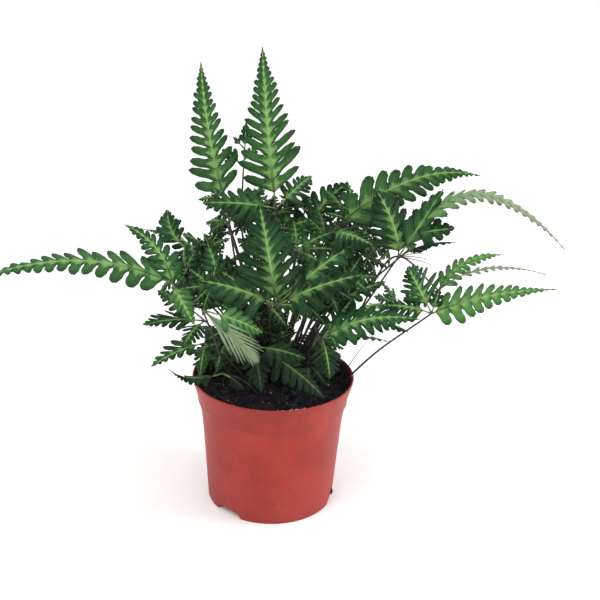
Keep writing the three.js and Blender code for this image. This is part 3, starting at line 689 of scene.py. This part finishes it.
def soil_height(x, y):
    """The compost's height in millimetres: a low mound, slow waves and three sizes of crumb."""
    mound = SOIL_LEVEL + 2.5 * (1 - np.hypot(x, y) / 60)
    waves = 0.8 * np.sin(0.31 * x + 1) * np.cos(0.27 * y) + 0.5 * np.sin(0.53 * x - 0.47 * y)
    crumbs = 1.5 * grains(x, y, 3.1, 1) ** 2 + 1.2 * grains(x, y, 1.7, 2) ** 2 + 0.5 * grains(x, y, 0.9, 3)
    return mound + waves + crumbs - 0.9


def build_pot():
    """The underside, both faces of the wall and the floor, turned about Z.

    The foot's edge rises in each notch by (1 - off³) to the power 0.45, and off runs from 0 at the notch's
    middle to 1 at its side.
    """
    arch = 0 * TURN
    for middle in NOTCHES:
        off = np.abs((TURN - middle + np.pi) % (2 * np.pi) - np.pi) * FOOT_RADIUS / NOTCH_HALF_WIDTH
        arch = np.maximum(arch, np.clip(1 - off**3, 0, 1) ** 0.45)
    loops = [ring(r, z) for r, z in UNDERSIDE]
    loops += [ring(r, np.maximum(z, NOTCH_INSIDE * arch)) for r, z in FOOT]
    loops += [ring(r, np.maximum(z, NOTCH_OUTSIDE * arch)) for r, z in WALL_FACE[:5]]
    loops += [ring(r, z) for r, z in WALL_FACE[5:] + INNER_FACE + POT_FLOOR]
    piece("nursery_pot", [loft(np.array(loops))], (pot_plastic,), ["pot"], sharp=40)


def build_compost():
    """The compost fills the pot: its side follows the wall, and its top is soil_height on rings of points."""
    loops = [ring(r, z) for r, z in COMPOST_SIDE]
    for share in np.linspace(1, 0.01, 100):
        flat = ring(SOIL_REACH * share, 0)
        flat[:, 2] = soil_height(flat[:, 0] / MM, flat[:, 1] / MM) * MM
        loops.append(flat)
    piece("compost", [loft(np.array(loops))], (compost,), ["soil"], sharp=80)


ICO = (1 + 5**0.5) / 2
LUMP_CORNERS = [(a, b, 0) for b in (ICO, -ICO) for a in (-1, 1)]
LUMP_CORNERS = unit(np.vstack([np.roll(LUMP_CORNERS, i, axis=1) for i in range(3)]))
LUMP_FACES = np.array([
    (0, 11, 5), (0, 5, 1), (0, 1, 7), (0, 7, 10), (0, 10, 11), (1, 5, 9), (5, 11, 4), (11, 10, 2), (10, 7, 6),
    (7, 1, 8), (3, 9, 4), (3, 4, 2), (3, 2, 6), (3, 6, 8), (3, 8, 9), (4, 9, 5), (2, 4, 11), (6, 2, 10),
    (8, 6, 7), (9, 8, 1),
])


def lumps(centres, sizes, seed):
    """Rough lumps: the twelve corners of an icosahedron, pushed in or out and stretched at random."""
    rng = np.random.default_rng(seed)
    count = len(centres)
    corners = LUMP_CORNERS[None] * (0.75 + 0.5 * rng.random((count, 12, 1)))
    corners = corners * (0.6 + 0.7 * rng.random((count, 1, 3))) * np.asarray(sizes)[:, None, None]
    turn = rng.random(count) * 2 * np.pi
    c, s = np.cos(turn)[:, None], np.sin(turn)[:, None]
    x, y, z = corners[..., 0], corners[..., 1], corners[..., 2]
    points = (np.stack([c * x - s * y, s * x + c * y, z], -1) + centres[:, None]).reshape(-1, 3)
    faces = (LUMP_FACES[None] + 12 * np.arange(count)[:, None, None]).reshape(-1, 3)
    return dict(points=points, quads=faces, fans=faces[:0], marks={}, finish=np.zeros(len(faces), int))


CRUMBS, PALE_GRAINS, RIM_GRAINS_AND_HIGHLIGHT, FIBRES = 1500, 150, (14, 6), 110
# Soil that clings to the wall: degrees round the pot, height and size.
CLINGING = [
    (-17, 10, 1.3), (-15, 7, 1.1), (-18, 8, 0.9), (-14, 4.5, 0.8), (-16, 6, 1.2), (-140, 39, 0.5),
    (-103, 33, 0.5), (-73, 30, 0.4), (-79, 17, 0.5), (-23, 72, 0.4), (-13, 81, 0.4),
]


def scattered(count, seed):
    """Random places on the compost, even over its area, in metres, and the generator to go on with."""
    rng = np.random.default_rng(seed)
    far = np.sqrt(rng.uniform(0, (SOIL_REACH - 1.2) ** 2, count))
    turn = rng.uniform(0, 2 * np.pi, count)
    x, y = far * np.cos(turn), far * np.sin(turn)
    return np.stack([x, y, soil_height(x, y)], -1) * MM, rng


def random_sizes(least, more, count, rng):
    """Sizes in metres, most of them near the least one."""
    return (least + more * rng.random(count) ** 2) * MM


def build_crumbs():
    """Lumps of compost lying loose on it."""
    places, rng = scattered(CRUMBS, 11)
    piece("compost_crumbs", [lumps(places, random_sizes(0.35, 1.0, CRUMBS, rng), 12)], (compost,))


def build_grains():
    """Pale lumps on the compost, and some on the front of the rim, where most lie in its middle part; the
    ones on the rim are partly crumbs and partly a painted highlight along its edge.
    """
    places, rng = scattered(PALE_GRAINS, 13)
    sizes = random_sizes(0.22, 0.45, PALE_GRAINS, rng)
    piece("pale_grains", [lumps(places, sizes, 14)], (grain_pale,))
    # The rim's grains are partly crumbs and partly a painted highlight along its front edge.
    middle, around = RIM_GRAINS_AND_HIGHLIGHT
    turn = np.radians(np.append(rng.uniform(-88, -62, middle), rng.uniform(-125, -45, around)))
    far = rng.uniform(59, 59.8, middle + around)
    on_rim = round_the_pot(turn, far, 100.1)
    piece("rim_grains_and_highlight", [lumps(on_rim, random_sizes(0.2, 0.4, len(turn), rng), 16)], (grain_pale,))


def build_clinging_soil():
    """Lumps of compost on the wall's outer face."""
    turn, height, size = np.transpose(CLINGING)
    far = np.interp(height, *np.transpose(WALL_FACE[4:15])[::-1])
    on_wall = round_the_pot(np.radians(turn), far, height)
    piece("clinging_soil", [lumps(on_wall, size * MM, 17)], (compost,))


def build_fibres():
    """Fine tubes on the compost, each bent in a parabola, turned at random, and rising towards one end."""
    places, rng = scattered(FIBRES, 15)
    strands = []
    for place, (a, b, c, d) in zip(places, rng.random((FIBRES, 4))):
        t = np.linspace(-0.5, 0.5, 7)
        reach, turn = (3 + 8 * a) * MM, b * 2 * np.pi
        bend = (c - 0.5) * reach
        x, y, z = t * reach, bend * (0.25 - t * t) * 2, (0.2 + 1.6 * d * (t + 0.5)) * MM
        cos, sin = math.cos(turn), math.sin(turn)
        line = np.stack([x * cos - y * sin, x * sin + y * cos, z], -1) + place
        strands.append(tube(line, (0.09 + 0.07 * c) * MM * (1.15 - 2 * np.abs(t)), 5))
    piece("fibres", strands, (fibre_tan,))


# ---- Materials ----
class Finish:
    """A material of nodes. Each method adds one node and gives back its output."""

    def __init__(self, name):
        self.material = bpy.data.materials.new(name)
        self.material.use_nodes = True
        self.tree = self.material.node_tree
        self.shader = self.tree.nodes["Principled BSDF"]

    def node(self, kind, inputs=(), **settings):
        made = self.tree.nodes.new("ShaderNode" + kind)
        for key, value in settings.items():
            setattr(made, key, value)
        for key, value in dict(inputs).items():
            if isinstance(value, bpy.types.NodeSocket):
                self.tree.links.new(value, made.inputs[key])
            else:
                made.inputs[key].default_value = value
        return made

    def place(self):
        return self.node("TexCoord").outputs["Object"]

    def mark(self, name):
        """The three parts of a point attribute."""
        vector = self.node("Attribute", attribute_name=name).outputs["Vector"]
        return self.node("SeparateXYZ", {0: vector}).outputs[:]

    def noise(self, scale, detail=3.0, rough=0.55):
        inputs = {"Vector": self.place(), "Scale": scale, "Detail": detail, "Roughness": rough}
        return self.node("TexNoise", inputs).outputs["Fac"]

    def math(self, operation, a, b=0, clamp=False):
        return self.node("Math", {0: a, 1: b}, operation=operation, use_clamp=clamp).outputs[0]

    def plus(self, a, b):
        return self.math("ADD", a, b)

    def minus(self, a, b, clamp=False):
        return self.math("SUBTRACT", a, b, clamp)

    def times(self, a, b, clamp=False):
        return self.math("MULTIPLY", a, b, clamp)

    def span(self, value, low, high, to_low=0, to_high=1, soft=True):
        """The value mapped from low..high to to_low..to_high, with soft ends."""
        kind = "SMOOTHSTEP" if soft else "LINEAR"
        inputs = {"Value": value, "From Min": low, "From Max": high, "To Min": to_low, "To Max": to_high}
        return self.node("MapRange", inputs, interpolation_type=kind).outputs[0]

    def mix(self, share, a, b):
        a, b = ((*v, 1) if isinstance(v, tuple) else v for v in (a, b))
        return self.node("Mix", {0: share, 6: a, 7: b}, data_type="RGBA").outputs[2]

    def bump(self, height, distance, strength):
        return self.node("Bump", {"Height": height, "Distance": distance, "Strength": strength}).outputs[0]

    def done(self, colour, rough, normal=None, specular=0.5):
        values = {"Base Color": colour, "Roughness": rough, "Normal": normal}
        for key, value in values.items():
            if value is not None:
                self.tree.links.new(value, self.shader.inputs[key])
        self.shader.inputs["Specular IOR Level"].default_value = specular
        return self.material


# A near-black green, painted shade on leaves lying in shadow, and the colour of a rib at its foot.
SHADE_NEAR_BLACK, RIB_FOOT = (0.008, 0.012, 0.007), (0.012, 0.012, 0.006)
BLEACHED = (0.24, 0.2, 0.13)


def leaf_green(name, deep, lit, fresh_and_glare, grey, band, gloss):
    """Leaf tissue: a pale band feathers from the costa into each lobe along its middle vein, and fine veins
    fork towards the margin. The lamina mark gives the share out to the lobe's tip, the place across it and
    the share along the rib; the habit mark, the band's strength, the paleness and each lobe's own tone."""
    f = Finish(name)
    out, across, along = f.mark("lamina")
    strength, pale, tone = f.mark("habit")
    from_vein = f.times(f.math("ABSOLUTE", across), 2.0)
    mottle = f.noise(55, 4, 0.6)
    fine = f.noise(420, 3, 0.6)
    shade = f.plus(f.times(tone, 0.1), mottle)
    shade = f.plus(shade, f.times(fine, 0.35))
    green = f.mix(f.span(shade, 0.35, 1), deep, lit)
    # A paleness up to 0.6 and then 1 lightens towards a fresh and then a grey green: partly the leaves' own
    # colour, partly painted glare of light on upright pinnae.
    green = f.mix(f.span(pale, 0, 0.6, soft=False), green, fresh_and_glare)
    green = f.mix(f.span(pale, 0.6, 1, soft=False), green, grey)
    old = f.times(pale, -1, clamp=True)
    feather = f.math("POWER", f.minus(1, from_vein, clamp=True), 1.4)
    feather = f.plus(f.times(feather, 0.28), 0.06)
    feather = f.plus(feather, f.times(f.minus(fine, 0.5), 0.4))
    inside = f.span(f.minus(feather, out), -0.09, 0.15)
    inside = f.times(inside, f.times(strength, 0.68), clamp=True)
    green = f.mix(inside, green, band)
    vein = f.plus(f.times(out, 15.0), f.times(from_vein, -5.0))
    vein = f.span(f.math("SINE", f.times(vein, math.pi)), 0.7, 1)
    middle_vein = f.span(from_vein, 0, 0.12, 1, 0)
    veins = f.math("MAXIMUM", f.times(vein, 0.5), middle_vein)
    green = f.mix(f.times(veins, 0.15), green, band)
    # Painted shade: a paleness below 0 darkens the tissue towards near black.
    green = f.mix(f.times(old, 0.95), green, SHADE_NEAR_BLACK)
    margin = f.math("MAXIMUM", f.span(out, 0.5, 1), f.span(from_vein, 0.55, 0.95))
    green = f.mix(f.times(margin, 0.6), green, deep)
    rib = f.mix(f.span(along, 0.12, 0.45), RIB_FOOT, tuple(c * 1.35 for c in band))
    costa = f.times(f.span(out, 0.015, 0.06, 1, 0), f.span(old, 0.6, 1, 0.7, 0.15))
    green = f.mix(costa, green, rib)
    height = f.plus(f.times(veins, -0.5), f.times(fine, 0.8))
    rough = f.span(fine, 0.3, 0.7, gloss - 0.08, gloss + 0.1)
    normal = f.bump(height, 0.25 * MM, 0.7)
    return f.done(green, rough, normal, 0.08)


def stem_finish(name, low, high, gloss):
    """Wiry stem tissue that goes from one colour to another along its length, with fine streaks.

    The lamina mark gives the share along the stem and how bleached it is there.
    """
    f = Finish(name)
    along, foot, _ = f.mark("lamina")
    streak = f.noise(900, 2, 0.5)
    colour = f.mix(f.span(along, 0.5, 1), low, high)
    colour = f.mix(f.times(streak, 0.35), colour, tuple(c * 2.2 for c in low))
    colour = f.mix(f.times(foot, 0.8), colour, BLEACHED)
    rough = f.span(streak, 0.3, 0.7, gloss - 0.08, gloss + 0.12)
    return f.done(colour, rough, f.bump(streak, 0.15 * MM, 0.6))


def petiole_finish(name):
    """Short green stalks under the pinnae: brown at the fork, where the third part of the habit mark is 1."""
    f = Finish(name)
    _, _, near_fork = f.mark("habit")
    streak = f.noise(700, 2, 0.5)
    colour = f.mix(f.span(near_fork, 0.2, 0.95), (0.13, 0.22, 0.055), (0.035, 0.035, 0.018))
    colour = f.mix(f.times(streak, 0.3), colour, (0.2, 0.26, 0.1))
    rough = f.span(streak, 0.3, 0.7, 0.4, 0.55)
    return f.done(colour, rough, f.bump(streak, 0.12 * MM, 0.5))


def plastic_finish(name):
    """Satin moulded plastic: a fine orange-peel skin, faint mottling, dust towards the foot, a dark line
    along the step under the band, scattered dark specks, and painted shade that darkens the inner face
    below the rim."""
    f = Finish(name)
    place = f.place()
    height = f.node("SeparateXYZ", {0: place}).outputs["Z"]
    cloud = f.noise(28, 4, 0.6)
    speck = f.noise(900, 2, 0.6)
    colour = f.mix(f.span(cloud, 0.34, 0.66), (0.235, 0.0155, 0.0105), (0.33, 0.0245, 0.015))
    colour = f.mix(f.times(f.span(speck, 0.38, 0.68), 0.3), colour, (0.37, 0.042, 0.028))
    dusty = f.times(f.span(height, 0, 0.05, 1, 0), f.span(cloud, 0.2, 0.7, 0.15, 0.5))
    colour = f.mix(dusty, colour, (0.29, 0.045, 0.04))
    # A dark line a millimetre either side of 79.6 mm, along the step under the band.
    band_step_line = f.span(f.math("ABSOLUTE", f.minus(height, 79.6 * MM)), 0, 1 * MM, 0.55, 0)
    colour = f.mix(band_step_line, colour, (0.16, 0.022, 0.016))
    far = f.node("VectorMath", {0: place, 1: (1, 1, 0)}, operation="MULTIPLY").outputs[0]
    far = f.node("VectorMath", {0: far}, operation="LENGTH").outputs["Value"]
    middle_of_wall = f.plus(f.times(height, 0.25), 34.6 * MM)
    inside = f.span(f.minus(far, middle_of_wall), -0.3 * MM, 0.3 * MM, 1, 0)
    # Painted shade: the inner face is darkened to near black below the rim, less so at its top edge.
    inner_shade = f.span(f.plus(height, f.times(cloud, 6 * MM)), 99 * MM, 103 * MM, 0.95, 0.2)
    colour = f.mix(f.times(inside, inner_shade), colour, (0.014, 0.008, 0.009))
    cells = f.node("TexVoronoi", {"Vector": place, "Scale": 130.0, "Randomness": 1})
    size = f.times(f.span(f.noise(50, 2), 0.55, 0.75), 0.26)
    spots = f.span(f.minus(cells.outputs["Distance"], size), -0.05, 0.02, 1, 0)
    colour = f.mix(f.times(spots, 0.6), colour, (0.09, 0.022, 0.018))
    skin = f.plus(speck, f.times(cloud, 0.6))
    rough = f.span(f.plus(speck, dusty), 0.3, 1, 0.42, 0.62)
    return f.done(colour, rough, f.bump(skin, 0.12 * MM, 0.5), 0.3)


def compost_finish(name):
    """Moist peat: near black with brown crumbs and a few paler ones, matt with damp points."""
    f = Finish(name)
    coarse, fine = f.noise(260, 4, 0.7), f.noise(1100, 3, 0.65)
    colour = f.mix(f.span(coarse, 0.42, 0.75), (0.005, 0.0042, 0.0078), (0.022, 0.015, 0.016))
    colour = f.mix(f.span(fine, 0.66, 0.74, 0, 0.6), colour, (0.1, 0.068, 0.042))
    height = f.plus(coarse, f.times(fine, 0.5))
    rough = f.span(fine, 0.3, 0.7, 0.7, 0.98)
    return f.done(colour, rough, f.bump(height, 0.9 * MM, 0.9), 0.25)


def speckled(name, dark, light, scale, rough):
    """Small loose matter, mottled from one colour to another."""
    f = Finish(name)
    tone = f.noise(scale, 3, 0.6)
    colour = f.mix(f.span(tone, 0.3, 0.7), dark, light)
    return f.done(colour, f.span(tone, 0.3, 0.7, rough - 0.1, rough), f.bump(tone, 0.15 * MM, 0.6))


blade_top = leaf_green(
    "fern_blade_top", deep=(0.0036, 0.017, 0.0062), lit=(0.032, 0.104, 0.034), fresh_and_glare=(0.085, 0.23, 0.06),
    grey=(0.29, 0.325, 0.235), band=(0.18, 0.335, 0.105), gloss=0.42,
)
blade_under = leaf_green(
    "fern_blade_underside", deep=(0.035, 0.085, 0.03), lit=(0.095, 0.175, 0.075), fresh_and_glare=(0.15, 0.26, 0.12),
    grey=(0.27, 0.33, 0.225), band=(0.15, 0.25, 0.1), gloss=0.55,
)
pot_plastic = plastic_finish("terracotta_plastic")
compost = compost_finish("moist_compost")
grain_pale = speckled("pale_grain", (0.22, 0.18, 0.12), (0.55, 0.5, 0.4), 1500, 0.85)
fibre_tan = speckled("tan_fibre", (0.05, 0.03, 0.018), (0.16, 0.11, 0.065), 800, 0.85)
green_stalk = petiole_finish("fern_petiole")
stipe_brown = stem_finish("fern_stipe", (0.012, 0.008, 0.007), (0.035, 0.024, 0.016), 0.34)

build_pot()
build_compost()
build_crumbs()
build_grains()
build_clinging_soil()
build_fibres()
build_fronds()
build_bare_ribs()

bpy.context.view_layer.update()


# ---- Floor, light and camera ----
FLOOR_REACH, FLOOR_PLACES = 6, 9
# The camera, with its angles in degrees, as fitted to the pot's outline in the photo.
EYE_AT, LENS, PAN, TILT, ROLL = (0, -0.6756, 0.4257), 60.26, 1.515, 21.52, 2.058


def build_floor():
    """A large level grid in a pale, faintly mottled grey."""
    across = np.linspace(-FLOOR_REACH, FLOOR_REACH, FLOOR_PLACES)
    x, y = np.meshgrid(across, across)
    mesh = bpy.data.meshes.new("floor")
    index = np.arange(x.size).reshape(x.shape)
    quads = np.stack([index[:-1, :-1], index[:-1, 1:], index[1:, 1:], index[1:, :-1]], -1).reshape(-1, 4)
    mesh.from_pydata(np.stack([x, y, 0 * x], -1).reshape(-1, 3).tolist(), [], quads.tolist())
    f = Finish("pale_floor")
    tone = f.noise(3, 2)
    grey = f.mix(tone, (0.92, 0.92, 0.92), (0.94, 0.94, 0.94))
    mesh.materials.append(f.done(grey, f.span(tone, 0, 1, 0.75, 0.85)))
    put("floor", mesh)


def softbox(name, place, aim, width, power, colour):
    light = bpy.data.lights.new(name, "AREA")
    light.shape, light.size, light.energy, light.color = "DISK", width, power, colour
    lamp = put(name, light)
    lamp.location = place
    lamp.rotation_euler = (Vector(aim) - Vector(place)).to_track_quat("-Z", "Y").to_euler()


def build_light():
    world = bpy.data.worlds.new("studio")
    bpy.context.scene.world = world
    world.use_nodes = True
    sky = world.node_tree.nodes["Background"].inputs
    sky["Color"].default_value, sky["Strength"].default_value = (1, 1, 1, 1), 1.08
    softbox("key", (-0.7, -0.9, 1.5), (0, 0, 0.18), 0.9, 9.5, (1, 0.985, 0.96))
    softbox("fill", (1.15, -0.1, 0.55), (0, 0, 0.12), 0.6, 8.5, (0.97, 0.985, 1))


def build_camera():
    """Pan turns the way it looks about Z from +Y, tilt lowers it, and roll turns the picture."""
    camera = bpy.data.cameras.new("camera")
    camera.sensor_width, camera.lens = 36, LENS
    camera.clip_start, camera.clip_end = 0.02, 20
    pan, tilt, roll = (math.radians(a) for a in (PAN, TILT, ROLL))
    ahead = Vector((math.sin(pan) * math.cos(tilt), math.cos(pan) * math.cos(tilt), -math.sin(tilt)))
    level = Vector((math.cos(pan), -math.sin(pan), 0))
    upright = level.cross(ahead)
    right = level * math.cos(roll) + upright * math.sin(roll)
    above = upright * math.cos(roll) - level * math.sin(roll)
    turn = Matrix((right, above, -ahead)).transposed().to_4x4()
    eye = put("camera", camera)
    eye.matrix_world = Matrix.Translation(EYE_AT) @ turn
    bpy.context.scene.camera = eye
    bpy.context.scene.view_settings.view_transform = "Standard"


build_floor()
build_light()
build_camera()
